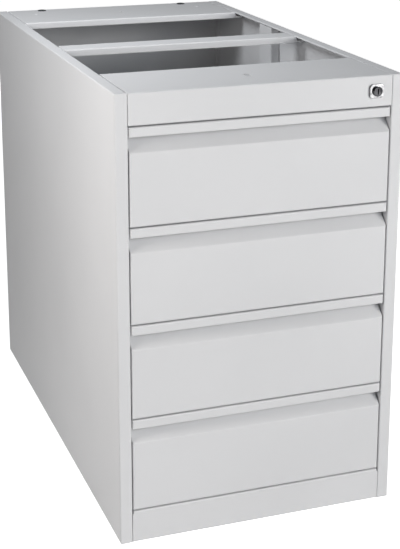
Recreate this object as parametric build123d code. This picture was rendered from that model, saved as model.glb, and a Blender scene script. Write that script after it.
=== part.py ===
from build123d import *
import os
from math import cos, radians, sin

# Drawer pedestal of folded sheet steel, four equal drawers, open under its worktop.
# Millimetres. While a piece is modelled, X runs to the right, Y back from the
# plane of the drawer fronts and Z up from the floor. The last function moves
# every piece so that the origin is on the floor under the middle of the pedestal.

# Overall size
WIDTH = 420.0
DEPTH = 750.0
HEIGHT = 650.0
DRAWERS = 4

# Sheet, folds and the clearance between pieces that are fitted together
SHEET = 1.0
FOLD = 1.0
CLEAR = 0.3

# Side panels
STILE = 18.0
STILE_RETURN = 15.0
EDGE_RETURN = 17.5
TOP_LIP = 2.5

# Rails at the front and the gaps round the drawer fronts
LOCK_RAIL = 44.2
PLINTH = 47.8
FRONT_GAP = 2.0
SIDE_GAP = 1.5
PLINTH_LEDGE = 40.0
PLINTH_FOOT = 17.0
PLINTH_RELIEF = 4.0
PLINTH_RELIEF_WIDE = 1.5

# Drawer fronts: a strip over a sloping finger groove, and a hollow pan behind
FRONT_PAN = 19.0
STRIP = 13.0
GRIP = 34.8
FRONT_TAB = 14.0
FRONT_LIP = 24.0

# Top: the pan behind the lock rail, the cross rail and the rear pan
FRONT_TOP = 137.0
CROSS_RAIL_Y = 333.0
CROSS_RAIL = 41.0
REAR_TOP = 145.0
REAR_FLANGE = 21.0
TOP_FLANGE = 10.5
PAN_FLANGE = 7.0
RAIL_CHEEK_TOP = 14.0
JOGGLE = 7.0
JOGGLE_RUN = 4.0
JOGGLE_GAP = 2.0
JOGGLE_END = 4.0
WORKTOP_HOLE_R = 3.5
WORKTOP_SLOT = 20.0
WORKTOP_SLOT_WIDE = 8.0
FRONT_SLOT_Y = 63.0
REAR_HOLE_Y = 69.0
CORNER_HOLE_R = 4.0
CORNER_HOLE_X = 132.0
CORNER_HOLE_Y = 15.0
DIMPLE_X = 150.0
DIMPLE_Y = 55.0
DIMPLE_R = 5.0
DIMPLE_DEEP = 1.0

# Bottom and back
BASE_FLANGE = 20.0
BACK_FLANGE = 15.0

# Posts that carry the runners
POST = 52.0
POST_SHEET = 1.5
POST_LIP = 8.0
POST_FRONT_Y = 54.0
POST_SETBACK = 27.0
POST_HEADROOM = 1.0
POST_SLOT = 30.0
POST_SLOT_WIDE = 8.0

# Telescopic runners: three members, one inside the other
RUNNER = 500.0
RUNNER_START = 20.0
RUNNER_THICK = 12.7
RUNNER_HIGH = 45.0
RUNNER_SHEET = 1.2
RUNNER_FOLD = 0.6
WEB_GAP = 1.0
CABINET_LIP = 2.5
MIDDLE_STANDOFF = 3.3
MIDDLE_LIP = 2.8
RUNNER_RISE = 27.0
SCREW_SLOT = 14.0
SCREW_SLOT_WIDE = 5.0
ACCESS_HOLE_R = 6.0

# Drawer bodies
TRAY_RISE = 10.0
TRAY_DROP = 12.0
TRAY_RIM = 9.0
TRAY_RIM_LIP = 5.0

# Rivets
RIVET_R = 1.6
RIVET_FIT = 0.1
RIVET_HEAD_R = 3.8
RIVET_HEAD = 1.5
RIVET_TAIL_R = 2.8
RIVET_TAIL = 1.4
RIVET_EDGE = 18.0
RIVET_SIDES = 12
DRAWER_RIVET_INSET = 62.0

# Lock
LOCK_INSET = 42.5
LOCK_DROP = 21.5
LOCK_PROUD = 6.5
LOCK_PLATE = 22.0
LOCK_PLATE_HIGH = 20.0
LOCK_PLATE_PROUD = 3.0
LOCK_PLATE_CORNER = 5.0
LOCK_PLATE_EDGE = 1.0
BARREL_R = 9.0
BARREL_FIT = 0.1
BARREL_END = 26.0
PLUG_R = 7.0
PLUG_FIT = 0.05
PLUG_EDGE = 0.8
PLUG_END = 28.0
KEYWAY = 8.0
KEYWAY_WIDE = 1.6
KEYWAY_DEEP = 9.0
NUT_FLATS = 24.0
NUT_THICK = 4.0

# Crank behind the lock, with a pin in the slot of the lock bar
CAM_R = 7.5
CAM_THICK = 2.0
CAM_ARM = 9.0
CAM_STUD_R = 3.5
CRANK = 7.0
CRANK_START = -45.0
CRANK_TURN = 90.0
PIN_R = 2.0
PIN_SLACK = 0.35

# Lock bar on the right side panel, its guides, and the catches on the drawers
BAR_SHEET = 2.0
BAR_WIDE = 20.0
BAR_CORNER = 1.8
BAR_Y = 18.0
BAR_FOOT = 58.0
EAR_HIGH = 8.0
EAR_ABOVE_RUNNER = 2.5
EAR_OVERLAP = 4.0
ARM_BELOW_PIN = 8.0
ARM_ABOVE_PIN = 7.5
ARM_PAST_PIN = 8.0
CATCH_SHEET = 1.5
CATCH_HIGH = 10.0
CATCH_FOOT = 20.0
CATCH_GAP = 4.0
CATCH_PLAY = 0.5
CATCH_ABOVE_EAR = 1.0
GUIDE_HIGH = 20.0
GUIDE_FOOT = 12.0
GUIDE_GAP = 8.0

# Sizes that follow from those above
half = WIDTH / 2
wall = half - SHEET
opening = half - STILE
bend = FOLD + SHEET
front_high = (HEIGHT - LOCK_RAIL - PLINTH - (DRAWERS + 1) * FRONT_GAP) / DRAWERS
pitch = front_high + FRONT_GAP
front_half = opening - SIDE_GAP
rail_half = opening - CLEAR
rail_foot = HEIGHT - LOCK_RAIL
top_half = half - EDGE_RETURN - CLEAR
pan_half = min(top_half, rail_half)
tab_half = wall - JOGGLE_END
base_top = PLINTH - SHEET
back_y = DEPTH - SHEET
tray_half = opening - RUNNER_THICK
tray_high = front_high - GRIP - TRAY_DROP - TRAY_RISE
tray_end = RUNNER_START + RUNNER
rear_post_y = tray_end - POST_SETBACK - POST
bar_x = wall - CLEAR
bar_rear = BAR_Y + BAR_WIDE
ear_y = bar_rear - BAR_SHEET
ear_rise = TRAY_RISE + RUNNER_RISE + RUNNER_HIGH / 2 + EAR_ABOVE_RUNNER
catch_tip = opening - CATCH_GAP
catch_y = bar_rear + CATCH_PLAY
lock_x = half - LOCK_INSET
lock_z = HEIGHT - LOCK_DROP
crank_x = lock_x + CRANK * cos(radians(CRANK_START))
crank_z = lock_z + CRANK * sin(radians(CRANK_START))
arm_foot = crank_z - ARM_BELOW_PIN


def front_foot(drawer):
    """Height of the lower edge of a drawer front. Drawer 1 is at the top."""
    return PLINTH + FRONT_GAP + (DRAWERS - drawer) * pitch


def runner_z(drawer):
    """Height of the middle of a drawer's runners."""
    return front_foot(drawer) + TRAY_RISE + RUNNER_RISE


def plate(x0, x1, y0, y1, z0, z1):
    """Flat block between two corners."""
    middle = Pos((x0 + x1) / 2, (y0 + y1) / 2, (z0 + z1) / 2)
    return middle * Box(abs(x1 - x0), abs(y1 - y0), abs(z1 - z0))


def folded(points, sheet=SHEET, fold=FOLD):
    """Section of a folded strip: one skin runs through the points, the other to their left."""
    line = [Vector(*point) for point in points]
    ways = [(b - a).normalized() for a, b in zip(line, line[1:])]
    lefts = [Vector(-way.Y, way.X) for way in ways]
    other = [line[0] + lefts[0] * sheet]
    near, far = [], []
    for corner, one, two in zip(line[1:], lefts, lefts[1:]):
        other.append(corner + (one + two) * (sheet / (1 + one.dot(two))))
        turns_left = one.X * two.Y - one.Y * two.X > 0
        near.append(fold + sheet if turns_left else fold)
        far.append(fold if turns_left else fold + sheet)
    other.append(line[-1] + lefts[-1] * sheet)
    radii = [0, *near, 0, 0, *reversed(far), 0]
    return make_face(FilletPolyline(*line, *reversed(other), radius=radii, close=True))


def along_x(section, x0, x1):
    """Section drawn in depth and height, drawn out from x0 to x1."""
    return Pos(x0, 0, 0) * extrude(Plane.YZ * section, amount=x1 - x0)


def along_y(section, y0, y1):
    """Section drawn in width and height, drawn out from y0 to y1."""
    return Pos(0, y0, 0) * extrude(Plane.XZ * section, amount=y0 - y1)


def along_z(section, z0, z1):
    """Section drawn in plan, drawn out from z0 to z1."""
    return Pos(0, 0, z0) * extrude(section, amount=z1 - z0)


def rod_x(radius, x0, x1, y, z):
    """Round bar along X."""
    return Pos((x0 + x1) / 2, y, z) * Rot(0, 90, 0) * Cylinder(radius, abs(x1 - x0))


def rod_y(radius, y0, y1, x, z):
    """Round bar along Y."""
    return Pos(x, (y0 + y1) / 2, z) * Rot(90, 0, 0) * Cylinder(radius, abs(y1 - y0))


def rod_z(radius, z0, z1, x, y):
    """Round bar along Z."""
    return Pos(x, y, (z0 + z1) / 2) * Cylinder(radius, abs(z1 - z0))


def mirrored(shape):
    """The same piece on the other side of the pedestal."""
    return mirror(shape, Plane.YZ)


def both(shape):
    """A feature and its reflection, as one."""
    return shape + mirrored(shape)


def side_panel():
    """Right side: a shallow pan with its stile returned and its top edge lipped."""
    inner_x = half - EDGE_RETURN
    corner_y = bend + CLEAR
    outer = plate(inner_x, half, 0, DEPTH, 0, HEIGHT)
    outer = fillet(outer.faces().sort_by(Axis.X)[-1].edges(), bend)
    inner = plate(inner_x - EDGE_RETURN, wall, SHEET, back_y, SHEET, HEIGHT - SHEET)
    inner = fillet(inner.faces().sort_by(Axis.X)[-1].edges(), FOLD)
    pan = outer - inner
    pan -= plate(0, opening, 0, corner_y, 0, HEIGHT)
    pan -= plate(0, opening + bend, 0, corner_y, SHEET, HEIGHT - SHEET)
    pan -= plate(0, opening, 0, back_y, 0, SHEET)
    pan -= plate(0, inner_x + 2 * bend, corner_y, back_y - SHEET - CLEAR, HEIGHT - SHEET, HEIGHT)
    stile = folded([(opening, STILE_RETURN), (opening, 0), (half - bend, 0)])
    pan += along_z(stile, SHEET, HEIGHT - SHEET)
    lip = folded([(half - bend, HEIGHT), (inner_x, HEIGHT), (inner_x, HEIGHT - TOP_LIP)])
    return pan + along_y(lip, corner_y, back_y - SHEET - CLEAR)


def lock_rail():
    """Front rail and front top pan from one sheet, with holes for the lock and the worktop."""
    skin = [
        (FRONT_TOP, HEIGHT - TOP_FLANGE),
        (FRONT_TOP, HEIGHT),
        (0, HEIGHT),
        (0, rail_foot),
        (STILE_RETURN, rail_foot),
    ]
    rail = along_x(folded(skin), -rail_half, rail_half)
    rail -= both(plate(pan_half, half, bend, FRONT_TOP + SHEET, HEIGHT - EDGE_RETURN, HEIGHT))
    inside = SHEET / 2
    flange_top = HEIGHT - inside
    flange = plate(pan_half - SHEET, pan_half, bend, FRONT_TOP - inside, HEIGHT - PAN_FLANGE, flange_top)
    cheek_top = HEIGHT - RAIL_CHEEK_TOP
    cheek = plate(rail_half - SHEET, rail_half, inside, STILE_RETURN, rail_foot + inside, cheek_top)
    rail += both(flange) + both(cheek)
    rail -= rod_y(BARREL_R + BARREL_FIT, -SHEET, 2 * SHEET, lock_x, lock_z)
    slot = SlotOverall(WORKTOP_SLOT, WORKTOP_SLOT_WIDE, rotation=90)
    return rail - extrude(Pos(0, FRONT_SLOT_Y, HEIGHT - 2 * SHEET) * slot, amount=3 * SHEET)


def joggled(skin, y0, y1):
    """Channel over the open top, its ends joggled down between y0 and y1 to run under the returns."""
    flat = top_half - JOGGLE_GAP
    drop_end = flat + JOGGLE_RUN
    low = HEIGHT - JOGGLE
    inside = SHEET / 2
    above = Polyline(
        (flat, HEIGHT),
        (drop_end, low),
        (half, low),
        (half, HEIGHT + SHEET),
        (flat, HEIGHT + SHEET),
        close=True,
    )
    rail = along_x(folded(skin), -tab_half, tab_half)
    rail -= both(along_y(make_face(above), 0, DEPTH + SHEET))
    tab = Polyline(
        (flat - SHEET, HEIGHT),
        (flat, HEIGHT),
        (drop_end, low),
        (tab_half, low),
        (tab_half, low - SHEET),
        (drop_end - inside, low - SHEET),
        (flat - inside, HEIGHT - SHEET),
        (flat - SHEET, HEIGHT - SHEET),
        close=True,
    )
    return rail + both(along_y(make_face(tab), y0, y1))


def cross_rail():
    """Channel across the open top."""
    y0, y1 = CROSS_RAIL_Y, CROSS_RAIL_Y + CROSS_RAIL
    foot = HEIGHT - TOP_FLANGE
    skin = [(y1, foot), (y1, HEIGHT), (y0, HEIGHT), (y0, foot)]
    return joggled(skin, y0 + SHEET / 2, y1 - SHEET / 2)


def rear_pan():
    """Rear top pan with its holes, two pressed dimples and a flange outside the back."""
    y0 = DEPTH - REAR_TOP
    skin = [
        (DEPTH, HEIGHT - REAR_FLANGE),
        (DEPTH, HEIGHT),
        (y0, HEIGHT),
        (y0, HEIGHT - TOP_FLANGE),
    ]
    end_y = back_y - SHEET - CLEAR
    pan = joggled(skin, y0 + SHEET / 2, end_y)
    pan -= both(plate(top_half, half, end_y, DEPTH + SHEET, 0, HEIGHT))
    low, high = HEIGHT - 2 * SHEET, HEIGHT + SHEET
    pan -= rod_z(WORKTOP_HOLE_R, low, high, 0, DEPTH - REAR_HOLE_Y)
    pan -= both(rod_z(CORNER_HOLE_R, low, high, CORNER_HOLE_X, DEPTH - CORNER_HOLE_Y))
    recess = Cone(DIMPLE_R / 2, DIMPLE_R, DIMPLE_DEEP)
    boss = Cone(DIMPLE_R / 2 + SHEET, DIMPLE_R + SHEET, DIMPLE_DEEP)
    top = Pos(DIMPLE_X, DEPTH - DIMPLE_Y, HEIGHT - DIMPLE_DEEP / 2)
    return pan + both(top * Pos(0, 0, -SHEET) * boss) - both(top * recess)


def plinth_rail():
    """Kickplate between the stiles, with a ledge over the base and a foot on the floor."""
    skin = [(PLINTH_LEDGE, PLINTH), (0, PLINTH), (0, 0), (PLINTH_FOOT, 0)]
    rail = along_x(folded(skin), -rail_half, rail_half)
    inside = SHEET / 2
    cheek = plate(rail_half - SHEET, rail_half, inside, STILE_RETURN, inside, PLINTH - inside)
    relief_x = rail_half - PLINTH_RELIEF_WIDE
    relief = plate(relief_x, half, -SHEET, PLINTH_LEDGE + SHEET, PLINTH - PLINTH_RELIEF, PLINTH + SHEET)
    return rail + both(cheek) - both(relief)


def base_panel():
    """Floor of the cabinet: an upturned pan between the side panels."""
    y0, y1 = STILE_RETURN + CLEAR, back_y - SHEET
    foot = base_top - BASE_FLANGE
    outer = plate(-wall, wall, y0, y1, foot, base_top)
    outer = fillet(outer.faces().sort_by(Axis.Z)[-1].edges(), bend)
    inner = plate(-wall + SHEET, wall - SHEET, y0 + SHEET, y1 - SHEET, foot - SHEET, base_top - SHEET)
    return outer - fillet(inner.faces().sort_by(Axis.Z)[-1].edges(), FOLD)


def back_panel():
    """Back sheet inside the rear returns, its sides folded forward along the panels."""
    skin = [(wall, back_y - BACK_FLANGE), (wall, back_y), (-wall, back_y), (-wall, back_y - BACK_FLANGE)]
    panel = along_z(folded(skin), bend + CLEAR, HEIGHT - bend - CLEAR)
    return panel - plate(-half, half, back_y - 2 * BACK_FLANGE, back_y - SHEET, 0, base_top + CLEAR)


def post(y0):
    """Right-hand post: a lipped channel on the side panel, slotted between the runners."""
    y1 = y0 + POST
    centre = y0 + POST / 2
    skin = [
        (wall, y1 - POST_LIP),
        (wall, y1),
        (opening, y1),
        (opening, y0),
        (wall, y0),
        (wall, y0 + POST_LIP),
    ]
    body = along_z(folded(skin, POST_SHEET), base_top, HEIGHT - TOP_LIP - POST_HEADROOM)
    for drawer in range(1, DRAWERS + 1):
        z = runner_z(drawer)
        body -= rod_x(RIVET_R + RIVET_FIT, opening - SHEET, opening + 2 * POST_SHEET, centre, z)
    for drawer in range(1, DRAWERS):
        slot = Plane.YZ * SlotOverall(POST_SLOT, POST_SLOT_WIDE, rotation=90)
        slot = Pos(opening - SHEET, centre, runner_z(drawer) - pitch / 2) * slot
        body -= extrude(slot, amount=2 * POST_SHEET + SHEET)
    return body


def member(upper_half, drawer, faces_post):
    """Runner member whose half section is given as distance from the post and rise."""
    lower_half = [(depth, -rise) for depth, rise in upper_half]
    if faces_post:
        skin = lower_half + upper_half[::-1]
    else:
        skin = upper_half + lower_half[::-1]
    points = [(opening - depth, runner_z(drawer) + rise) for depth, rise in skin]
    return along_y(folded(points, RUNNER_SHEET, RUNNER_FOLD), RUNNER_START, tray_end)


def rivet_ys():
    """Depths of the rivets that hold a cabinet member: the middle of each post."""
    return [POST_FRONT_Y + POST / 2, rear_post_y + POST / 2]


def drawer_rivet_ys():
    """Depths of the rivets that hold a drawer member."""
    return [RUNNER_START + DRAWER_RIVET_INSET, tray_end - DRAWER_RIVET_INSET]


def cabinet_runner(drawer):
    """Right outer member: a channel on the posts whose lips hold the middle member."""
    top = RUNNER_HIGH / 2
    mouth = RUNNER_THICK - RUNNER_SHEET - WEB_GAP
    shape = [(mouth, top - RUNNER_SHEET - CABINET_LIP), (mouth, top), (0, top)]
    body = member(shape, drawer, faces_post=True)
    z = runner_z(drawer)
    for y in rivet_ys():
        body -= rod_x(RIVET_R + RIVET_FIT, opening - 2 * RUNNER_SHEET, opening + SHEET, y, z)
    slot = Plane.YZ * SlotOverall(SCREW_SLOT, SCREW_SLOT_WIDE)
    for y in (POST_FRONT_Y + 2 * POST, rear_post_y - POST):
        body -= extrude(Pos(opening - 2 * RUNNER_SHEET, y, z) * slot, amount=3 * RUNNER_SHEET)
    return body


def middle_runner(drawer):
    """Right middle member, trapped in the outer one, with access holes in its web."""
    top = RUNNER_HIGH / 2 - RUNNER_SHEET - CLEAR
    mouth = RUNNER_THICK - 2 * RUNNER_SHEET - WEB_GAP - CLEAR
    shape = [(mouth, top - RUNNER_SHEET - MIDDLE_LIP), (mouth, top), (MIDDLE_STANDOFF, top)]
    body = member(shape, drawer, faces_post=True)
    x = opening - MIDDLE_STANDOFF
    for y in rivet_ys():
        body -= rod_x(ACCESS_HOLE_R, x - 2 * RUNNER_SHEET, x + RUNNER_SHEET, y, runner_z(drawer))
    return body


def drawer_runner(drawer):
    """Right inner member, whose flanges turn out behind the lips of the middle one."""
    race = RUNNER_HIGH / 2 - 2 * RUNNER_SHEET - 2 * CLEAR
    flange = race - MIDDLE_LIP
    turned = RUNNER_THICK - 3 * RUNNER_SHEET - WEB_GAP - 2 * CLEAR
    shape = [(turned, race), (turned, flange), (RUNNER_THICK, flange)]
    body = member(shape, drawer, faces_post=False)
    for y in drawer_rivet_ys():
        x0, x1 = tray_half - SHEET, tray_half + 2 * RUNNER_SHEET
        body -= rod_x(RIVET_R + RIVET_FIT, x0, x1, y, runner_z(drawer))
    return body


def drawer_front(drawer):
    """Front folded from one sheet: strip, finger groove, face and the pan behind it."""
    foot = front_foot(drawer)
    top = foot + front_high
    face_top = top - GRIP
    slope = FRONT_PAN - SHEET
    skin = [
        (SHEET, top - STRIP),
        (SHEET, top - SHEET),
        (slope, top - SHEET),
        (slope, face_top + slope),
        (0, face_top),
        (0, foot),
        (FRONT_PAN, foot),
        (FRONT_PAN, foot + FRONT_TAB),
    ]
    front = along_x(folded(skin), -front_half, front_half)
    inside = SHEET / 2
    side = [(front_half, inside), (front_half, FRONT_PAN), (front_half - FRONT_LIP, FRONT_PAN)]
    front += both(along_z(folded(side), foot + inside, face_top - SHEET))
    block = plate(-front_half, front_half, 0, 2 * FRONT_PAN, foot, top)
    front &= fillet(block.edges().filter_by(Axis.Z).sort_by(Axis.Y)[:2], bend)
    for x, z in front_rivets(drawer):
        front -= rod_y(RIVET_R + RIVET_FIT, FRONT_PAN - 2 * SHEET, FRONT_PAN + SHEET, x, z)
    return front


def front_rivets(drawer):
    """Width and height of each rivet that holds a drawer front on its body."""
    low = front_foot(drawer) + TRAY_RISE + RIVET_EDGE
    high = low - 2 * RIVET_EDGE + tray_high
    x = tray_half - bend - RIVET_HEAD_R - RIVET_FIT
    return [(side * x, z) for side in (-1, 1) for z in (low, high)]


def drawer_body(drawer):
    """Open tray from one blank, with a rim turned in and down round its top."""
    foot = front_foot(drawer) + TRAY_RISE
    top = foot + tray_high
    y0, y1 = FRONT_PAN, tray_end
    outer = plate(-tray_half, tray_half, y0, y1, foot, top - bend)
    outer = fillet(outer.faces().sort_by(Axis.Z)[0].edges(), bend)
    x1 = tray_half - SHEET
    inner = plate(-x1, x1, y0 + SHEET, y1 - SHEET, foot + SHEET, top)
    body = outer - fillet(inner.faces().sort_by(Axis.Z)[0].edges(), FOLD)
    low, lip = top - 2 * bend, top - TRAY_RIM_LIP
    rim_x = tray_half - TRAY_RIM
    side = [(tray_half, low), (tray_half, top), (rim_x, top), (rim_x, lip)]
    body += both(along_y(folded(side), y0, y1))
    rear = [(y1, low), (y1, top), (y1 - TRAY_RIM, top), (y1 - TRAY_RIM, lip)]
    fore = [(y0 + TRAY_RIM, lip), (y0 + TRAY_RIM, top), (y0, top), (y0, low)]
    span = rim_x + SHEET / 2
    body += along_x(folded(rear), -span, span) + along_x(folded(fore), -span, span)
    hole = RIVET_R + RIVET_FIT
    for y in drawer_rivet_ys():
        body -= both(rod_x(hole, x1 - SHEET, tray_half + SHEET, y, runner_z(drawer)))
    for x, z in front_rivets(drawer):
        body -= rod_y(hole, y0 - SHEET, y0 + 2 * SHEET, x, z)
    y, z = catch_rivet(drawer)
    return body - rod_x(hole, x1 - SHEET, tray_half + SHEET, y, z)


def catch_rivet(drawer):
    """Depth and height of the rivet in a drawer's catch."""
    z = front_foot(drawer) + ear_rise + EAR_HIGH + CATCH_ABOVE_EAR + CATCH_HIGH / 2
    return catch_y + CATCH_FOOT - CATCH_HIGH / 2, z


def drawer_catch(drawer):
    """Angle on the right of a drawer that the raised lock bar holds back."""
    y, z = catch_rivet(drawer)
    skin = [(tray_half, catch_y + CATCH_FOOT), (tray_half, catch_y), (catch_tip, catch_y)]
    angle = along_z(folded(skin, CATCH_SHEET), z - CATCH_HIGH / 2, z + CATCH_HIGH / 2)
    return angle - rod_x(RIVET_R + RIVET_FIT, tray_half - SHEET, tray_half + 2 * CATCH_SHEET, y, z)


def rivet(length):
    """Blind rivet: head below the origin, shank of a length up Z, and its clenched tail."""
    ring = RegularPolygon(RIVET_TAIL_R, RIVET_SIDES)
    head = loft([ring, Pos(0, 0, -RIVET_HEAD) * RegularPolygon(RIVET_HEAD_R, RIVET_SIDES)])
    shank = extrude(RegularPolygon(RIVET_R, RIVET_SIDES), amount=length)
    tail = Pos(0, 0, length) * extrude(ring, amount=RIVET_TAIL)
    return head + shank + tail


def runner_rivets():
    """Rivets through the cabinet members and their posts, one at each crossing."""
    shank = rivet(RUNNER_SHEET + POST_SHEET)
    row = []
    for drawer in range(1, DRAWERS + 1):
        for y in rivet_ys():
            place = Pos(opening - RUNNER_SHEET, y, runner_z(drawer)) * Rot(0, 90, 0) * shank
            row += [place, mirrored(place)]
    return Compound(row)


def drawer_rivets(drawer):
    """Rivets of one drawer: its two runners, its front and its catch."""
    row = []
    for y in drawer_rivet_ys():
        x = tray_half + RUNNER_SHEET
        place = Pos(x, y, runner_z(drawer)) * Rot(0, -90, 0) * rivet(RUNNER_SHEET + SHEET)
        row += [place, mirrored(place)]
    for x, z in front_rivets(drawer):
        row.append(Pos(x, FRONT_PAN + SHEET, z) * Rot(90, 0, 0) * rivet(2 * SHEET))
    y, z = catch_rivet(drawer)
    x = tray_half + CATCH_SHEET
    row.append(Pos(x, y, z) * Rot(0, -90, 0) * rivet(CATCH_SHEET + SHEET))
    return Compound(row)


def lock_housing():
    """Barrel of the lock with its rounded plate on the front of the rail."""
    face = RectangleRounded(LOCK_PLATE, LOCK_PLATE_HIGH, LOCK_PLATE_CORNER)
    cover = Pos(lock_x, 0, lock_z) * extrude(Plane.XZ * face, amount=LOCK_PLATE_PROUD)
    rim = cover.faces().sort_by(Axis.Y)[0].edges()
    cover = fillet(rim, LOCK_PLATE_EDGE)
    body = cover + rod_y(BARREL_R, -SHEET, BARREL_END, lock_x, lock_z)
    return body - rod_y(PLUG_R + PLUG_FIT, -LOCK_PROUD, BARREL_END + SHEET, lock_x, lock_z)


def lock_nut():
    """Six-sided nut that clamps the housing behind the rail."""
    flats = RegularPolygon(NUT_FLATS / 2, 6, major_radius=False)
    nut = extrude(Plane.XZ * flats, amount=-NUT_THICK)
    nut = Pos(lock_x, SHEET, lock_z) * nut
    return nut - rod_y(BARREL_R + BARREL_FIT, 0, SHEET + 2 * NUT_THICK, lock_x, lock_z)


def lock_plug():
    """Plug that the key turns: it stands proud in front and carries the cam behind."""
    plug = rod_y(PLUG_R, -LOCK_PROUD, PLUG_END, lock_x, lock_z)
    plug = chamfer(plug.edges().filter_by(GeomType.CIRCLE).sort_by(Axis.Y)[0], PLUG_EDGE)
    plug += rod_y(CAM_STUD_R, PLUG_END - SHEET, PLUG_END + 2 * CAM_THICK, lock_x, lock_z)
    middle = KEYWAY_DEEP / 2 - LOCK_PROUD
    return plug - Pos(lock_x, middle, lock_z) * Box(KEYWAY_WIDE, KEYWAY_DEEP, KEYWAY)


def lock_cam():
    """Crank on the end of the plug, with the pin that lifts the lock bar."""
    arm = Rot(0, 0, CRANK_START) * Pos(CRANK / 2, 0, 0)
    outline = Circle(CAM_R) + arm * SlotCenterToCenter(CRANK, CAM_ARM)
    outline -= Circle(CAM_STUD_R + PLUG_FIT)
    crank = Pos(lock_x, PLUG_END, lock_z) * extrude(Plane.XZ * outline, amount=-CAM_THICK)
    return crank + rod_y(PIN_R, PLUG_END + CAM_THICK / 2, bar_rear + 2 * PIN_SLACK, crank_x, crank_z)


def lock_bar():
    """Strip on the right side panel with an ear at each drawer and a slotted arm on top."""
    inner_x = bar_x - BAR_SHEET
    ear_end = catch_tip - EAR_OVERLAP
    arm_top = crank_z + ARM_ABOVE_PIN
    bar = plate(inner_x, bar_x, BAR_Y, bar_rear, BAR_FOOT, arm_top)
    for drawer in range(1, DRAWERS + 1):
        z = front_foot(drawer) + ear_rise
        bar += plate(ear_end, bar_x, ear_y, bar_rear, z, z + EAR_HIGH)
    bar += plate(crank_x - ARM_PAST_PIN, bar_x, ear_y, bar_rear, arm_foot, arm_top)
    outer_corner = bar.edges().filter_by(Axis.Z).sort_by(lambda edge: edge.center().X + edge.center().Y)
    bar = fillet(outer_corner[-1], BAR_CORNER)
    room = PIN_R + PIN_SLACK
    reach = lock_x + CRANK
    slot = Plane.XZ * SlotOverall(reach - crank_x + 2 * room, 2 * room)
    slot = Pos((reach + crank_x) / 2, ear_y - SHEET, crank_z) * slot
    return bar - extrude(slot, amount=-2 * BAR_SHEET - SHEET)


def lock_bar_guides():
    """Two saddles on the right side panel that the lock bar slides in."""
    inside = bar_x - BAR_SHEET - CLEAR
    front, rear = BAR_Y - CLEAR, bar_rear + CLEAR
    skin = [
        (wall, front - GUIDE_FOOT),
        (wall, front),
        (inside, front),
        (inside, rear),
        (wall, rear),
        (wall, rear + GUIDE_FOOT),
    ]
    section = folded(skin, SHEET, CLEAR)
    lowest_ear = front_foot(DRAWERS) + ear_rise
    tops = (lowest_ear - GUIDE_GAP, arm_foot - GUIDE_GAP)
    return Compound([along_z(section, top - GUIDE_HIGH, top) for top in tops])


def write(name, shape):
    """Writes one piece, moved so that the origin is under the middle of the pedestal."""
    centred = Pos(0, (LOCK_PROUD - DEPTH) / 2, 0) * shape
    export_step(centred, os.path.join("parts", name + ".step"))


def write_pair(name, shape):
    """Writes a right-hand piece and its left-hand reflection."""
    write("right_" + name, shape)
    write("left_" + name, mirrored(shape))


def write_cabinet():
    """Panels, rails and posts."""
    write_pair("side_panel", side_panel())
    write_pair("front_post", post(POST_FRONT_Y))
    write_pair("rear_post", post(rear_post_y))
    write("lock_rail", lock_rail())
    write("cross_rail", cross_rail())
    write("rear_top_pan", rear_pan())
    write("plinth_rail", plinth_rail())
    write("base_panel", base_panel())
    write("back_panel", back_panel())
    write("runner_rivets", runner_rivets())


def write_lock():
    """Lock, its crank, and the bar with its guides."""
    write("lock_housing", lock_housing())
    write("lock_nut", lock_nut())
    write("lock_plug", lock_plug())
    write("lock_cam", lock_cam())
    write("lock_bar", lock_bar())
    write("lock_bar_guides", lock_bar_guides())


def write_drawer(drawer):
    """One drawer with the runners it rides on."""
    number = "_" + str(drawer)
    write("drawer_front" + number, drawer_front(drawer))
    write("drawer_body" + number, drawer_body(drawer))
    write("drawer_rivets" + number, drawer_rivets(drawer))
    write("drawer_catch" + number, drawer_catch(drawer))
    write_pair("cabinet_runner" + number, cabinet_runner(drawer))
    write_pair("middle_runner" + number, middle_runner(drawer))
    write_pair("drawer_runner" + number, drawer_runner(drawer))


os.makedirs("parts", exist_ok=True)
write_cabinet()
write_lock()
for number in range(1, DRAWERS + 1):
    write_drawer(number)
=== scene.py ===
"""Looks of the drawer pedestal: finishes, small fittings, studio and camera."""
import logging
import math
from dataclasses import dataclass
from enum import Enum
from typing import Callable

import bmesh
import bpy
from mathutils import Matrix, Vector


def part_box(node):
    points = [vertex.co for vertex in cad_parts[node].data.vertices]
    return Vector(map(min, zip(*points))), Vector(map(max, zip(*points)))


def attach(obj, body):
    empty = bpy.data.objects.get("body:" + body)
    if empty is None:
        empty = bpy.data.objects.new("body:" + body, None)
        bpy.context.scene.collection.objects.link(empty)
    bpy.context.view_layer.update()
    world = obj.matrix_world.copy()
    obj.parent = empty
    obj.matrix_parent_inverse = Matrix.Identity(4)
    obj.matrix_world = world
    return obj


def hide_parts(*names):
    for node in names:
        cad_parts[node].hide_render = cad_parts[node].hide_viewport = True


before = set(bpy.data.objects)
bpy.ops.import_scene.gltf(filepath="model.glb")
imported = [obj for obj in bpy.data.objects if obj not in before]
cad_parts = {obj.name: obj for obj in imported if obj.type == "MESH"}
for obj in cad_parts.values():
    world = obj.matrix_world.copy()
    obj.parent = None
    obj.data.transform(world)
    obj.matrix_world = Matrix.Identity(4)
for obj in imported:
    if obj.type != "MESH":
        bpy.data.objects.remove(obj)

LOG = logging.getLogger("pedestal")
MM = 0.001
DRAWERS = (1, 2, 3, 4)
SIDES = ("left", "right")
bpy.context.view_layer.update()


class Slot(Enum):
    """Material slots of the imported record."""

    PAINT = "light_grey_paint"
    ZINC = "zinc_plated_steel"
    RIVET = "rivet_steel"
    CHROME = "black_chrome"


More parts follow.
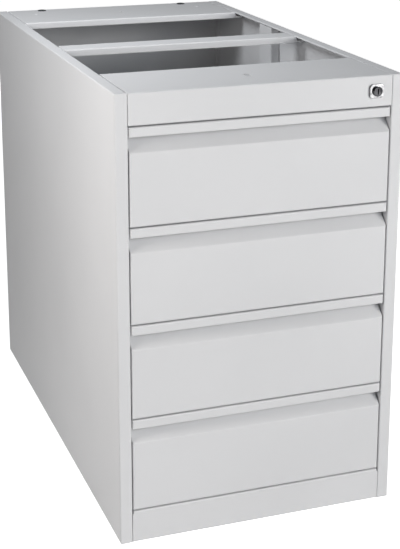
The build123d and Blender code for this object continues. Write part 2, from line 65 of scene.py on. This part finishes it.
class Graph:
    """A material's node tree, with short ways to add and join its nodes."""

    def __init__(self, name: str) -> None:
        """Starts an empty material.

        Args:
            name: Name of the material.
        """
        self.material = bpy.data.materials.new(name)
        self.material.use_nodes = True
        self.tree = self.material.node_tree
        self.tree.nodes.clear()

    def add(self, kind: str, **inputs: object) -> bpy.types.Node:
        """Adds a node.

        Args:
            kind: Blender's name of the node's type.
            **inputs: Values of its sockets, with spaces in their names as underscores.

        Returns:
            The new node.
        """
        node = self.tree.nodes.new(kind)
        for name, value in inputs.items():
            node.inputs[name.replace("_", " ")].default_value = value
        return node

    def join(self, source: bpy.types.NodeSocket, target: bpy.types.NodeSocket) -> None:
        """Joins an output to an input.

        Args:
            source: Output socket.
            target: Input socket.
        """
        self.tree.links.new(source, target)

    def place(self, stretch: tuple[float, float, float] = (1.0, 1.0, 1.0)) -> bpy.types.NodeSocket:
        """Gives the object's own coordinates, stretched along its axes.

        Args:
            stretch: Scale of the pattern along X, Y and Z.

        Returns:
            Socket with the coordinates.
        """
        place = self.add("ShaderNodeTexCoord")
        mapping = self.add("ShaderNodeMapping", Scale=stretch)
        self.join(place.outputs["Object"], mapping.inputs["Vector"])
        return mapping.outputs["Vector"]

    def noise(self, place: bpy.types.NodeSocket, scale: float, detail: float = 2.0) -> bpy.types.NodeSocket:
        """Adds a noise pattern.

        Args:
            place: Coordinates it is read at.
            scale: Waves in a metre.
            detail: Octaves of finer noise.

        Returns:
            Socket with the noise, from 0 to 1.
        """
        noise = self.add("ShaderNodeTexNoise", Scale=scale, Detail=detail)
        self.join(place, noise.inputs["Vector"])
        return noise.outputs["Fac"]

    def spread(
        self, value: bpy.types.NodeSocket, low: float, high: float, start: float = 0.3, end: float = 0.7
    ) -> bpy.types.NodeSocket:
        """Maps a value onto a range.

        Args:
            value: Socket to map.
            low: Result at start.
            high: Result at end.
            start: Value that gives low.
            end: Value that gives high.

        Returns:
            Socket with the result, held inside the range.
        """
        node = self.add("ShaderNodeMapRange")
        for name, number in zip(("From Min", "From Max", "To Min", "To Max"), (start, end, low, high)):
            node.inputs[name].default_value = number
        self.join(value, node.inputs["Value"])
        return node.outputs["Result"]

    def blend(
        self,
        share: bpy.types.NodeSocket,
        first: tuple[float, float, float] | bpy.types.NodeSocket,
        second: tuple[float, float, float] | bpy.types.NodeSocket,
    ) -> bpy.types.NodeSocket:
        """Mixes two colours.

        Args:
            share: Socket with the part that the second colour takes.
            first: Colour, or a socket with one.
            second: Colour, or a socket with one.

        Returns:
            Socket with the mixed colour.
        """
        mix = self.add("ShaderNodeMix")
        mix.data_type = "RGBA"
        self.join(share, mix.inputs[0])
        for socket, colour in zip((mix.inputs[6], mix.inputs[7]), (first, second)):
            if isinstance(colour, tuple):
                socket.default_value = (*colour, 1.0)
            else:
                self.join(colour, socket)
        return mix.outputs[2]

    def relief(
        self,
        height: bpy.types.NodeSocket,
        depth: float,
        strength: float,
        normal: bpy.types.NodeSocket | None = None,
    ) -> bpy.types.NodeSocket:
        """Turns a height into a bumped normal.

        Args:
            height: Socket with the height, from 0 to 1.
            depth: Real height of the bumps, in metres.
            strength: Share of the bump that shows.
            normal: Normal that the bumps stand on.

        Returns:
            Socket with the normal.
        """
        bump = self.add("ShaderNodeBump", Strength=strength, Distance=depth)
        self.join(height, bump.inputs["Height"])
        if normal is not None:
            self.join(normal, bump.inputs["Normal"])
        return bump.outputs["Normal"]

    def rounded(self, radius: float) -> tuple[bpy.types.NodeSocket, bpy.types.NodeSocket]:
        """Rounds sharp edges in the shading.

        Args:
            radius: Radius of the rounding, in metres.

        Returns:
            Sockets with the rounded normal and with a mask that is 1 along the edges.
        """
        bevel = self.add("ShaderNodeBevel", Radius=radius)
        bevel.samples = 6
        geometry = self.add("ShaderNodeNewGeometry")
        dot = self.add("ShaderNodeVectorMath")
        dot.operation = "DOT_PRODUCT"
        self.join(bevel.outputs["Normal"], dot.inputs[0])
        self.join(geometry.outputs["Normal"], dot.inputs[1])
        return bevel.outputs["Normal"], self.spread(dot.outputs["Value"], 1.0, 0.0, 0.80, 0.99)

    def shade(self, metallic: float = 0.0, **sockets: object) -> bpy.types.Material:
        """Closes the material with its surface shader.

        Args:
            metallic: 1 for bare metal, 0 for anything else.
            **sockets: Constants, or sockets to join, named as the shader's inputs.

        Returns:
            The finished material.
        """
        shader = self.add("ShaderNodeBsdfPrincipled", Metallic=metallic)
        for name, value in sockets.items():
            target = shader.inputs[name.replace("_", " ")]
            if isinstance(value, bpy.types.NodeSocket):
                self.join(value, target)
            else:
                target.default_value = value
        output = self.add("ShaderNodeOutputMaterial")
        self.join(shader.outputs["BSDF"], output.inputs["Surface"])
        return self.material


@dataclass(frozen=True)
class PowderCoat:
    """Semi-matt baked powder on sheet steel: fine pebbled skin, with a painted highlight along the folds and
    edges.
    """

    name: str = "light_grey_powder_coat"
    colour: tuple[float, float, float] = (0.672, 0.675, 0.688)
    shade: tuple[float, float, float] = (0.644, 0.648, 0.661)
    # Painted highlight: near-white colour that the bevel mask lays along the folds and edges.
    edge: tuple[float, float, float] = (0.92, 0.925, 0.93)
    dust: tuple[float, float, float] = (0.60, 0.60, 0.60)
    pebble_scale: float = 620.0
    pebble_depth: float = 0.00006
    edge_radius: float = 0.0016
    cloud_scale: float = 5.0
    speck_scale: float = 2400.0
    speck_share: float = 0.35
    highlight_share: float = 0.75
    rough: tuple[float, float] = (0.46, 0.58)
    bump: float = 0.55
    specular: float = 0.35

    def material(self) -> bpy.types.Material:
        """Builds the node tree.

        Returns:
            The material.
        """
        graph = Graph(self.name)
        place = graph.place()
        cloud = graph.noise(place, self.cloud_scale, 3.0)
        speck = graph.noise(place, self.speck_scale, 1.0)
        pebble = graph.noise(place, self.pebble_scale, 2.0)
        normal, edges = graph.rounded(self.edge_radius)
        body = graph.blend(graph.spread(cloud, 0.0, 1.0), self.colour, self.shade)
        body = graph.blend(graph.spread(speck, 0.0, self.speck_share, 0.62, 0.80), body, self.dust)
        # Painted highlight: the folds and edges are lightened towards the near-white colour.
        body = graph.blend(graph.spread(edges, 0.0, self.highlight_share, 0.1, 0.9), body, self.edge)
        roughness = graph.spread(pebble, *self.rough)
        normal = graph.relief(pebble, self.pebble_depth, self.bump, normal)
        return graph.shade(
            Base_Color=body, Roughness=roughness, Normal=normal, Specular_IOR_Level=self.specular
        )


@dataclass(frozen=True)
class ZincPlate:
    """Bright zinc on rolled steel, with faint marks along the rolling."""

    name: str = "zinc_plate"
    light: tuple[float, float, float] = (0.62, 0.64, 0.66)
    dark: tuple[float, float, float] = (0.46, 0.48, 0.50)
    stretch: tuple[float, float, float] = (1.0, 0.04, 1.0)
    rolling_scale: float = 700.0
    cloud_scale: float = 28.0
    edge_radius: float = 0.0003
    rough: tuple[float, float] = (0.26, 0.42)
    depth: float = 0.00002
    bump: float = 0.6

    def material(self) -> bpy.types.Material:
        """Builds the node tree.

        Returns:
            The material.
        """
        graph = Graph(self.name)
        rolled = graph.noise(graph.place(self.stretch), self.rolling_scale, 4.0)
        cloud = graph.noise(graph.place(), self.cloud_scale, 4.0)
        normal, _ = graph.rounded(self.edge_radius)
        colour = graph.blend(graph.spread(cloud, 0.0, 1.0), self.light, self.dark)
        roughness = graph.spread(cloud, *self.rough)
        normal = graph.relief(rolled, self.depth, self.bump, normal)
        return graph.shade(1.0, Base_Color=colour, Roughness=roughness, Normal=normal)


@dataclass(frozen=True)
class TurnedSteel:
    """Plain steel of the rivets, dull, with small scratches."""

    name: str = "rivet_steel"
    light: tuple[float, float, float] = (0.60, 0.60, 0.60)
    dark: tuple[float, float, float] = (0.42, 0.42, 0.43)
    scratch_scale: float = 1500.0
    rough: tuple[float, float] = (0.30, 0.5)
    depth: float = 0.00003
    bump: float = 0.5

    def material(self) -> bpy.types.Material:
        """Builds the node tree.

        Returns:
            The material.
        """
        graph = Graph(self.name)
        scratch = graph.noise(graph.place(), self.scratch_scale, 3.0)
        colour = graph.blend(graph.spread(scratch, 0.0, 1.0), self.light, self.dark)
        normal = graph.relief(scratch, self.depth, self.bump)
        roughness = graph.spread(scratch, *self.rough)
        return graph.shade(1.0, Base_Color=colour, Roughness=roughness, Normal=normal)


@dataclass(frozen=True)
class LockChrome:
    """Polished chrome of the lock, with hairlines round the keyhole and dark patches painted in for
    reflections.
    """

    name: str
    bright: tuple[float, float, float]
    painted_reflection_dark: tuple[float, float, float]
    stretch: tuple[float, float, float] = (1.0, 1.0, 0.08)
    hair_scale: float = 3800.0
    cloud_scale: float = 160.0
    edge_radius: float = 0.0003
    rough: tuple[float, float] = (0.06, 0.14)
    depth: float = 0.00001
    bump: float = 0.5

    def material(self) -> bpy.types.Material:
        """Builds the node tree.

        Returns:
            The material.
        """
        graph = Graph(self.name)
        hair = graph.noise(graph.place(self.stretch), self.hair_scale, 3.0)
        cloud = graph.noise(graph.place(), self.cloud_scale, 3.0)
        normal, _ = graph.rounded(self.edge_radius)
        # Painted reflection: cloud patches darken the chrome towards the dark colour.
        colour = graph.blend(graph.spread(cloud, 0.0, 1.0), self.bright, self.painted_reflection_dark)
        normal = graph.relief(hair, self.depth, self.bump, normal)
        roughness = graph.spread(cloud, *self.rough)
        return graph.shade(1.0, Base_Color=colour, Roughness=roughness, Normal=normal)


@dataclass(frozen=True)
class MouldedPlastic:
    """Dark moulded plastic of the buffers and rings."""

    name: str = "buffer_plastic"
    colour: tuple[float, float, float] = (0.030, 0.032, 0.036)
    bloom: tuple[float, float, float] = (0.060, 0.062, 0.066)
    grain_scale: float = 1800.0
    cloud_scale: float = 60.0
    rough: tuple[float, float] = (0.45, 0.6)
    depth: float = 0.00004
    bump: float = 0.5

    def material(self) -> bpy.types.Material:
        """Builds the node tree.

        Returns:
            The material.
        """
        graph = Graph(self.name)
        grain = graph.noise(graph.place(), self.grain_scale, 2.0)
        cloud = graph.noise(graph.place(), self.cloud_scale, 3.0)
        colour = graph.blend(graph.spread(cloud, 0.0, 1.0), self.colour, self.bloom)
        normal = graph.relief(grain, self.depth, self.bump)
        return graph.shade(Base_Color=colour, Roughness=graph.spread(grain, *self.rough), Normal=normal)


class Finishes:
    """The materials of the pedestal, each made once."""

    def __init__(self) -> None:
        """Makes every material."""
        self.paint = PowderCoat().material()
        self.zinc = ZincPlate().material()
        self.steel = TurnedSteel().material()
        # The second colour of each chrome is a painted dark reflection, laid in cloud patches.
        self.chrome = LockChrome("plate_chrome", (0.46, 0.46, 0.47), (0.15, 0.15, 0.155)).material()
        self.plug = LockChrome("plug_chrome", (0.085, 0.085, 0.090), (0.030, 0.030, 0.033)).material()
        self.plastic = MouldedPlastic().material()
        self.by_slot = {
            Slot.PAINT.value: self.paint,
            Slot.ZINC.value: self.zinc,
            Slot.RIVET.value: self.steel,
            Slot.CHROME.value: self.chrome,
        }

    def dress(self, node: str, material: bpy.types.Material) -> None:
        """Gives a CAD node its finish.

        Args:
            node: Name of the node.
            material: Finish for the whole of it.
        """
        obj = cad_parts[node]
        obj.data.materials.clear()
        obj.data.materials.append(material)


class Bench:
    """Modelling by hand: primitives shaped in edit mode, then settled at the origin."""

    @staticmethod
    def deselect() -> None:
        """Leaves object mode with nothing selected."""
        if bpy.context.object is not None and bpy.context.object.mode != "OBJECT":
            bpy.ops.object.mode_set(mode="OBJECT")
        bpy.ops.object.select_all(action="DESELECT")

    @staticmethod
    def pick(test: Callable[[Vector, Vector], bool]) -> int:
        """Selects faces of the mesh in edit mode by their place and normal.

        Args:
            test: Says for a face's middle and normal whether it is wanted.

        Returns:
            Number of faces selected.
        """
        mesh = bmesh.from_edit_mesh(bpy.context.object.data)
        bpy.ops.mesh.select_mode(type="FACE")
        for face in mesh.faces:
            face.select_set(test(face.calc_center_median(), face.normal))
        mesh.select_flush_mode()
        bmesh.update_edit_mesh(bpy.context.object.data)
        return sum(face.select for face in mesh.faces)

    @classmethod
    def disc(cls, name: str, radius: float, thick: float, sides: int) -> bpy.types.Object:
        """Adds a short cylinder up Z from the origin, open for shaping in edit mode.

        Args:
            name: Name of the piece.
            radius: Its radius.
            thick: Its height.
            sides: Faces round it.

        Returns:
            The new object, in edit mode.
        """
        cls.deselect()
        bpy.ops.mesh.primitive_cylinder_add(
            vertices=sides, radius=radius, depth=thick, location=(0.0, 0.0, thick / 2)
        )
        obj = bpy.context.object
        obj.name = name
        bpy.ops.object.transform_apply(location=True, rotation=True, scale=True)
        bpy.ops.object.mode_set(mode="EDIT")
        return obj

    @classmethod
    def block(cls, name: str, low: Vector, high: Vector) -> bpy.types.Object:
        """Adds a block between two corners, open for shaping in edit mode.

        Args:
            name: Name of the piece.
            low: Lowest corner.
            high: Highest corner.

        Returns:
            The new object, in edit mode.
        """
        cls.deselect()
        bpy.ops.mesh.primitive_cube_add(size=1.0, location=(low + high) / 2)
        obj = bpy.context.object
        obj.name = name
        obj.scale = high - low
        bpy.ops.object.transform_apply(location=True, rotation=True, scale=True)
        bpy.ops.object.mode_set(mode="EDIT")
        return obj

    @classmethod
    def settle(cls, obj: bpy.types.Object, angle: float = 35.0) -> bpy.types.Object:
        """Ends a piece: back in object mode, smooth, at the origin.

        Args:
            obj: The piece.
            angle: Edges sharper than this many degrees stay sharp.

        Returns:
            The same object.
        """
        cls.deselect()
        obj.select_set(True)
        bpy.context.view_layer.objects.active = obj
        bpy.ops.object.transform_apply(location=True, rotation=True, scale=True)
        bpy.ops.object.shade_smooth_by_angle(angle=math.radians(angle))
        return obj

    @classmethod
    def copies(cls, pattern: bpy.types.Object, name: str, places: list[Matrix]) -> bpy.types.Object:
        """Copies a pattern to several places and joins the copies into one piece.

        Args:
            pattern: Piece to copy, modelled at the origin. It is removed.
            name: Name of the joined piece.
            places: Where each copy goes.

        Returns:
            The joined piece.
        """
        made = []
        for place in places:
            copy = pattern.copy()
            copy.data = pattern.data.copy()
            copy.data.transform(place)
            bpy.context.collection.objects.link(copy)
            made.append(copy)
        bpy.data.objects.remove(pattern)
        return cls.join(made, name)

    @classmethod
    def join(cls, parts: list[bpy.types.Object], name: str) -> bpy.types.Object:
        """Joins several objects into one piece.

        Args:
            parts: Objects to join.
            name: Name of the joined piece.

        Returns:
            The joined piece.
        """
        cls.deselect()
        for part in parts:
            part.select_set(True)
        bpy.context.view_layer.objects.active = parts[0]
        bpy.ops.object.join()
        parts[0].name = name
        return parts[0]

    @staticmethod
    def clad(obj: bpy.types.Object, material: bpy.types.Material, slot: Slot, body: str) -> bpy.types.Object:
        """Gives a piece its finish and the body that it rides on.

        Args:
            obj: The piece.
            material: Its finish.
            slot: Material slot of the record; not used.
            body: CAD body that it moves with.

        Returns:
            The same object.
        """
        obj.data.materials.clear()
        obj.data.materials.append(material)
        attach(obj, body)
        LOG.info("%s rides on %s", obj.name, body)
        return obj


@dataclass
class Rivets:
    """Blind rivets with domed heads, one for each plain rivet of a CAD node."""

    finishes: Finishes
    head_radius: float = 3.8 * MM
    head_high: float = 1.5 * MM
    shank_radius: float = 1.6 * MM
    tail_radius: float = 2.8 * MM
    tail_long: float = 1.4 * MM
    sides: int = 20

    def pattern(self, grip: float) -> bpy.types.Object:
        """Models one rivet up Z: domed head below the origin, shank, and swollen tail.

        Args:
            grip: Length of the shank between the head and the tail.

        Returns:
            The rivet.
        """
        rivet = Bench.disc("rivet_pattern", self.shank_radius, grip, self.sides)
        middle_z = grip / 2
        Bench.pick(lambda middle, normal: middle.z < middle_z and normal.z < -0.9)
        flare = self.head_radius / self.shank_radius
        bpy.ops.mesh.extrude_region_move(TRANSFORM_OT_translate={"value": (0, 0, 0)})
        bpy.ops.transform.resize(value=(flare, flare, 1.0))
        for share, drop in ((1.0, 0.25), (0.88, 0.35), (0.66, 0.28), (0.55, 0.12), (0.85, -0.35)):
            step = (0, 0, -self.head_high * drop)
            bpy.ops.mesh.extrude_region_move(TRANSFORM_OT_translate={"value": step})
            bpy.ops.transform.resize(value=(share, share, 1.0))
        Bench.pick(lambda middle, normal: middle.z > middle_z and normal.z > 0.9)
        swell = self.tail_radius / self.shank_radius
        for share, rise in ((swell, 0.3), (0.92, 0.4), (0.6, 0.3)):
            step = (0, 0, self.tail_long * rise)
            bpy.ops.mesh.extrude_region_move(TRANSFORM_OT_translate={"value": step})
            bpy.ops.transform.resize(value=(share, share, 1.0))
        return Bench.settle(rivet, 50.0)

    def places(self, node: str) -> list[tuple[float, Matrix]]:
        """Reads where each plain rivet of a node stands.

        Args:
            node: CAD node of rivets.

        Returns:
            For each rivet the length of its shank, and the matrix that puts a pattern there.
        """
        mesh = bmesh.new()
        mesh.from_mesh(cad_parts[node].data)
        bmesh.ops.remove_doubles(mesh, verts=mesh.verts, dist=0.01 * MM)
        left, found = set(mesh.verts), []
        while left:
            grown, edge = set(), [min(left, key=lambda vert: vert.index)]
            while edge:
                vert = edge.pop()
                if vert not in grown:
                    grown.add(vert)
                    edge += [link.other_vert(vert) for link in vert.link_edges]
            left -= grown
            found.append(self.place([vert.co.copy() for vert in grown]))
        mesh.free()
        return found

    def place(self, points: list[Vector]) -> tuple[float, Matrix]:
        """Reads where one plain rivet stands.

        Args:
            points: Corners of its mesh.

        Returns:
            Length of its shank, and the matrix that puts a pattern there.
        """
        low = Vector([min(point[i] for point in points) for i in range(3)])
        high = Vector([max(point[i] for point in points) for i in range(3)])
        size, middle = high - low, (low + high) / 2
        along = min(range(3), key=lambda i: size[i])
        across = [i for i in range(3) if i != along]
        widest = max(points, key=lambda point: sum((point[i] - middle[i]) ** 2 for i in across))
        way = Vector((0.0, 0.0, 0.0))
        way[along] = 1.0 if widest[along] < middle[along] else -1.0
        start = middle - way * (size[along] / 2 - self.head_high)
        turn = way.to_track_quat("Z", "Y").to_matrix().to_4x4()
        return size[along] - self.head_high - self.tail_long, Matrix.Translation(start) @ turn

    def build(self, node: str, body: str) -> None:
        """Sets a domed rivet in the place of each plain one of a node.

        Args:
            node: CAD node of rivets.
            body: Body that they move with.
        """
        by_grip: dict[float, list[Matrix]] = {}
        for grip, place in self.places(node):
            by_grip.setdefault(round(grip / MM, 1), []).append(place)
        rows = [
            Bench.copies(self.pattern(grip * MM), f"{node}_row", places)
            for grip, places in sorted(by_grip.items())
        ]
        rivets = Bench.join(rows, f"{node}_domed")
        LOG.info("%s: rivets by grip %s", node, {grip: len(places) for grip, places in by_grip.items()})
        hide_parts(node)
        Bench.clad(rivets, self.finishes.steel, Slot.RIVET, body)


@dataclass
class Cabinet:
    """The welded body: panels, rails, posts and the runner members fixed to it."""

    finishes: Finishes

    def dress(self) -> None:
        """Paints the panels, rails and posts, and plates the runner members."""
        paint, zinc = self.finishes.paint, self.finishes.zinc
        for node in (
            "left_side_panel", "right_side_panel", "lock_rail", "cross_rail", "rear_top_pan",
            "plinth_rail", "base_panel", "back_panel", "left_front_post", "right_front_post",
            "left_rear_post", "right_rear_post",
        ):
            self.finishes.dress(node, paint)
        for number in DRAWERS:
            for side in SIDES:
                for kind in ("cabinet", "middle", "drawer"):
                    self.finishes.dress(f"{side}_{kind}_runner_{number}", zinc)
        Rivets(self.finishes).build("runner_rivets", "cabinet")


@dataclass
class RunnerBuffers:
    """Moulded stops that close the back ends of the cabinet's runner members."""

    finishes: Finishes
    thick: float = 5.0 * MM
    inset: float = 1.2 * MM
    edge: float = 0.8 * MM
    rim: float = 1.5 * MM
    hollow: float = 2.0 * MM

    def build(self, number: int) -> None:
        """Models the two buffers of one drawer.

        Args:
            number: The drawer, from 1 at the top.
        """
        for side in SIDES:
            low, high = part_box(f"{side}_cabinet_runner_{number}")
            low = Vector((low.x + self.inset, high.y, low.z + self.inset))
            high = Vector((high.x - self.inset, high.y + self.thick, high.z - self.inset))
            buffer = Bench.block(f"{side}_runner_buffer_{number}", low, high)
            bpy.ops.mesh.select_all(action="SELECT")
            bpy.ops.mesh.bevel(offset=self.edge, segments=2)
            back = high.y
            Bench.pick(lambda middle, normal: normal.y > 0.9 and middle.y > back - self.edge / 2)
            bpy.ops.mesh.inset(thickness=self.rim)
            bpy.ops.mesh.extrude_region_move(TRANSFORM_OT_translate={"value": (0, -self.hollow, 0)})
            Bench.settle(buffer)
            Bench.clad(buffer, self.finishes.plastic, Slot.ZINC, "cabinet")


@dataclass
class PanRings:
    """Dark moulded rings that line the mouths of the two corner holes of the rear top pan."""

    finishes: Finishes
    middle_x: float = 132.0 * MM
    from_back: float = 15.0 * MM
    bore: float = 4.1 * MM
    radius: float = 7.0 * MM
    thick: float = 1.4 * MM
    rounding: float = 0.7 * MM
    sides: int = 28

    def pattern(self) -> bpy.types.Object:
        """Models one ring: a low disc with a rounded rim, opened through its middle.

        Returns:
            The ring.
        """
        ring = Bench.disc("ring_pattern", self.radius, self.thick, self.sides)
        half = self.thick / 2
        Bench.pick(lambda middle, normal: normal.z > 0.9 and middle.z > half)
        for rise in (0.6, 0.3):
            bpy.ops.mesh.inset(thickness=self.rounding)
            bpy.ops.transform.translate(value=(0.0, 0.0, self.rounding * rise / 2))
        bpy.ops.mesh.inset(thickness=self.radius - 2 * self.rounding - self.bore)
        Bench.pick(lambda middle, normal: normal.z < -0.9 and middle.z < half)
        bpy.ops.mesh.inset(thickness=self.radius - self.bore)
        Bench.pick(lambda middle, normal: abs(normal.z) > 0.9 and math.hypot(middle.x, middle.y) < 0.1 * MM)
        bpy.ops.mesh.bridge_edge_loops()
        return Bench.settle(ring)

    def build(self) -> None:
        """Sets a ring on each corner hole."""
        _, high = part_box("rear_top_pan")
        places = [
            Matrix.Translation((side * self.middle_x, high.y - self.from_back, high.z)) for side in (-1, 1)
        ]
        rings = Bench.copies(self.pattern(), "rear_pan_rings", places)
        Bench.clad(rings, self.finishes.plastic, Slot.PAINT, "cabinet")


@dataclass
class Drawer:
    """One drawer: its folded front, its tray, the catch and the rivets."""

    finishes: Finishes
    number: int

    def dress(self) -> None:
        """Paints the front and the tray and plates the catch."""
        self.finishes.dress(f"drawer_front_{self.number}", self.finishes.paint)
        self.finishes.dress(f"drawer_body_{self.number}", self.finishes.paint)
        self.finishes.dress(f"drawer_catch_{self.number}", self.finishes.zinc)
        Rivets(self.finishes).build(f"drawer_rivets_{self.number}", f"drawer_{self.number}")


@dataclass
class Lock:
    """Lock in the top rail: chromed plate and plug, nut, crank, bar and guides."""

    finishes: Finishes

    def dress(self) -> None:
        """Chromes what shows in front and plates what is behind the rail."""
        self.finishes.dress("lock_housing", self.finishes.chrome)
        self.finishes.dress("lock_plug", self.finishes.plug)
        for node in ("lock_nut", "lock_cam", "lock_bar", "lock_bar_guides"):
            self.finishes.dress(node, self.finishes.zinc)


@dataclass(frozen=True)
class Lamp:
    """One soft rectangular lamp: where it stands, what it faces, its size, power and tint."""

    name: str
    place: tuple[float, float, float]
    aim: tuple[float, float, float]
    size: tuple[float, float]
    watts: float
    tint: tuple[float, float, float]


COOL = (0.90, 0.955, 1.0)
PALE = (0.96, 0.98, 1.0)
WARM = (1.0, 0.965, 0.93)
WHITE = (1.0, 1.0, 1.0)
# The front is lit fully, the left side less towards the back, and the top and back softly
LAMPS = (
    Lamp("front_lamp", (1.3, -3.5, 1.6), (0.0, -0.3, 0.35), (2.4, 1.8), 43.0, COOL),
    Lamp("right_lamp", (2.1, -2.9, 1.0), (0.0, -0.3, 0.3), (1.5, 1.5), 66.0, WARM),
    Lamp("side_lamp", (-0.85, -0.54, 0.68), (-0.2, -0.3, 0.35), (0.3, 0.6), 4.5, WARM),
    Lamp("bay_lamp", (-0.38, 0.0, 1.38), (0.2, 0.0, 0.6), (0.5, 0.5), 6.5, PALE),
    Lamp("back_lamp", (0.6, 3.0, 0.4), (0.0, 0.37, 0.3), (1.2, 0.7), 9.0, WHITE),
)


@dataclass
class Studio:
    """Pale floor and world, soft lamps, and the camera of the photograph."""

    floor_colour: tuple[float, float, float] = (0.62, 0.62, 0.62)
    floor_glow: float = 0.96
    world_strength: float = 0.06
    camera_place: tuple[float, float, float] = (-0.6847, -2.0291, 1.0183)
    camera_turn: tuple[float, float, float] = (75.166, -0.082, -19.659)
    camera_lens: float = 89.209
    camera_shift: float = -0.2086

    def floor(self) -> None:
        """Lays a wide floor that is near white to the camera and keeps the shadow."""
        Bench.deselect()
        bpy.ops.mesh.primitive_plane_add(size=60.0, location=(0.0, 0.0, 0.0))
        floor = bpy.context.object
        floor.name = "floor"
        graph = Graph("floor_white")
        paths = graph.add("ShaderNodeLightPath")
        seen = graph.add("ShaderNodeMath")
        seen.operation = "MAXIMUM"
        graph.join(paths.outputs["Is Camera Ray"], seen.inputs[0])
        graph.join(paths.outputs["Is Glossy Ray"], seen.inputs[1])
        strength = graph.spread(seen.outputs[0], 0.0, self.floor_glow, 0.0, 1.0)
        matt = graph.add("ShaderNodeBsdfDiffuse", Color=(*self.floor_colour, 1.0))
        glow = graph.add("ShaderNodeEmission")
        graph.join(strength, glow.inputs["Strength"])
        both = graph.add("ShaderNodeAddShader")
        graph.join(matt.outputs[0], both.inputs[0])
        graph.join(glow.outputs[0], both.inputs[1])
        output = graph.add("ShaderNodeOutputMaterial")
        graph.join(both.outputs[0], output.inputs["Surface"])
        floor.data.materials.append(graph.material)

    def world(self) -> None:
        """Sets a soft cool world that the camera sees as white."""
        world = bpy.data.worlds.new("studio_world")
        bpy.context.scene.world = world
        world.use_nodes = True
        tree = world.node_tree
        tree.nodes.clear()
        paths = tree.nodes.new("ShaderNodeLightPath")
        background = tree.nodes.new("ShaderNodeBackground")
        background.inputs["Color"].default_value = (0.97, 0.985, 1.0, 1.0)
        white = tree.nodes.new("ShaderNodeBackground")
        mix = tree.nodes.new("ShaderNodeMixShader")
        white.inputs["Color"].default_value = (1.0, 1.0, 1.0, 1.0)
        background.inputs["Strength"].default_value = self.world_strength
        output = tree.nodes.new("ShaderNodeOutputWorld")
        tree.links.new(paths.outputs["Is Camera Ray"], mix.inputs[0])
        tree.links.new(background.outputs[0], mix.inputs[1])
        tree.links.new(white.outputs[0], mix.inputs[2])
        tree.links.new(mix.outputs[0], output.inputs["Surface"])

    def lamps(self) -> None:
        """Adds every lamp."""
        for plan in LAMPS:
            lamp = bpy.data.lights.new(plan.name, "AREA")
            lamp.shape = "RECTANGLE"
            lamp.size, lamp.size_y = plan.size
            lamp.energy = plan.watts
            lamp.color = plan.tint
            obj = bpy.data.objects.new(plan.name, lamp)
            obj.location = plan.place
            way = Vector(plan.aim) - Vector(plan.place)
            obj.rotation_euler = way.to_track_quat("-Z", "Y").to_euler()
            bpy.context.scene.collection.objects.link(obj)

    def camera(self) -> None:
        """Places the camera as the photograph's straight edges give it."""
        data = bpy.data.cameras.new("photo_camera")
        data.lens = self.camera_lens
        data.sensor_width = 36.0
        data.shift_y = self.camera_shift
        data.clip_end = 100.0
        obj = bpy.data.objects.new("photo_camera", data)
        obj.location = self.camera_place
        obj.rotation_euler = [math.radians(turn) for turn in self.camera_turn]
        bpy.context.scene.collection.objects.link(obj)
        bpy.context.scene.camera = obj

    def build(self) -> None:
        """Builds the whole studio."""
        bpy.context.scene.view_settings.view_transform = "Standard"
        self.floor()
        self.world()
        self.lamps()
        self.camera()


def main() -> None:
    """Dresses the frame, adds the small fittings and builds the studio."""
    logging.basicConfig(level=logging.INFO, format="%(name)s: %(message)s")
    finishes = Finishes()
    Cabinet(finishes).dress()
    buffers = RunnerBuffers(finishes)
    for number in DRAWERS:
        Drawer(finishes, number).dress()
        buffers.build(number)
    PanRings(finishes).build()
    Lock(finishes).dress()
    Studio().build()


if __name__ == "__main__":
    main()
